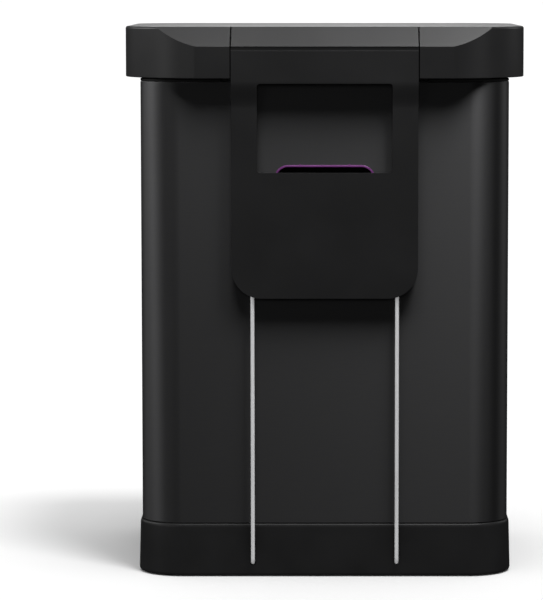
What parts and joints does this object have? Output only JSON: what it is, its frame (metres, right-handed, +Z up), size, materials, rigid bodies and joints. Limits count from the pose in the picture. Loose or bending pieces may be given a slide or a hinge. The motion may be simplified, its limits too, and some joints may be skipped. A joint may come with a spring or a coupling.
{
  "type": "trash compactor",
  "caption": "Free-standing hand-worked kitchen compactor: hinged lid, front handle that slides down two rods and presses a plate into an inner bucket.",
  "frame": {"origin": "on the floor under the middle of the object's bounding box", "axes": "+Z up, the front with the handle faces -Y, +X to the right seen from the front"},
  "size_m": [0.377, 0.305, 0.515],
  "materials": {
    "black_paint": "satin black powder paint",
    "black_satin_plastic": "satin black moulding",
    "black_plastic": "fine textured black moulding",
    "grey_plastic": "fine textured dark grey moulding",
    "purple_plastic": "satin purple moulding",
    "polished_steel": "polished stainless",
    "brushed_steel": "brushed stainless",
    "plated_steel": "zinc plated",
    "rubber": "matte",
    "nylon": "natural nylon",
    "carbon_foam": "open carbon foam"
  },
  "bodies": {
    "root": {"base_plinth": "black_plastic", "collar_front": "black_plastic", "foot_pad_1": "rubber", "foot_pad_2": "rubber", "foot_pad_3": "rubber", "foot_pad_4": "rubber", "guide_rod_left": "polished_steel", "guide_rod_right": "polished_steel", "hinge_bracket_left": "plated_steel", "hinge_bracket_right": "plated_steel", "hinge_pin_left": "plated_steel", "hinge_pin_right": "plated_steel", "inner_bucket": "grey_plastic", "inner_rail_left": "plated_steel", "inner_rail_right": "plated_steel", "liner_frame": "black_plastic", "outer_shell": "black_paint", "pocket_cup": "black_plastic", "pocket_surround": "purple_plastic", "rod_boss_left": "black_plastic", "rod_boss_right": "black_plastic", "rod_nut_lower_left": "plated_steel", "rod_nut_lower_right": "plated_steel", "rod_nut_upper_left": "plated_steel", "rod_nut_upper_right": "plated_steel", "top_collar": "black_plastic"},
    "lid": {"lid_cover": "black_satin_plastic", "lid_nose": "black_satin_plastic", "lid_recess_wall": "black_plastic", "lid_inner_panel": "black_plastic", "odour_filter": "carbon_foam", "filter_cover": "grey_plastic", "lid_hinge_leaf_left": "plated_steel", "lid_hinge_leaf_right": "plated_steel", "lid_bumper_1": "rubber", "lid_bumper_2": "rubber", "lid_bumper_3": "rubber", "lid_bumper_4": "rubber"},
    "carriage": {"handle_flap": "black_satin_plastic", "handle_back_cover": "black_plastic", "carriage_arm_left": "plated_steel", "carriage_arm_right": "plated_steel", "cross_beam": "brushed_steel", "compaction_plate": "brushed_steel", "roller_axle_left_1": "plated_steel", "roller_axle_left_2": "plated_steel", "roller_axle_right_1": "plated_steel", "roller_axle_right_2": "plated_steel"},
    "guide_roller_left_1": {"guide_roller_left_1": "nylon"},
    "guide_roller_left_2": {"guide_roller_left_2": "nylon"},
    "guide_roller_right_1": {"guide_roller_right_1": "nylon"},
    "guide_roller_right_2": {"guide_roller_right_2": "nylon"}
  },
  "joints": [
    {"name": "lid_hinge", "type": "hinge", "parent": "root", "child": "lid", "pos_m": [0, 0.145, 0.472], "axis": [-1, 0, 0], "range_deg": [0, 80]},
    {"name": "handle_slide", "type": "slide", "parent": "lid", "child": "carriage", "axis": [0, 0, -1], "range_m": [0, 0.196]},
    {"name": "guide_roller_left_1_spin", "type": "hinge", "parent": "carriage", "child": "guide_roller_left_1", "pos_m": [0, -0.12915, 0.48], "axis": [1, 0, 0], "range_deg": [0, 1872.7]},
    {"name": "guide_roller_left_2_spin", "type": "hinge", "parent": "carriage", "child": "guide_roller_left_2", "pos_m": [0, -0.12915, 0.493], "axis": [1, 0, 0], "range_deg": [0, 1872.7]},
    {"name": "guide_roller_right_1_spin", "type": "hinge", "parent": "carriage", "child": "guide_roller_right_1", "pos_m": [0, -0.12915, 0.48], "axis": [1, 0, 0], "range_deg": [0, 1872.7]},
    {"name": "guide_roller_right_2_spin", "type": "hinge", "parent": "carriage", "child": "guide_roller_right_2", "pos_m": [0, -0.12915, 0.493], "axis": [1, 0, 0], "range_deg": [0, 1872.7]}
  ],
  "couplings": [
    {"joint": "guide_roller_left_1_spin", "follows": "handle_slide", "rad_per_m": 166.67},
    {"joint": "guide_roller_left_2_spin", "follows": "handle_slide", "rad_per_m": 166.67},
    {"joint": "guide_roller_right_1_spin", "follows": "handle_slide", "rad_per_m": 166.67},
    {"joint": "guide_roller_right_2_spin", "follows": "handle_slide", "rad_per_m": 166.67}
  ]
}
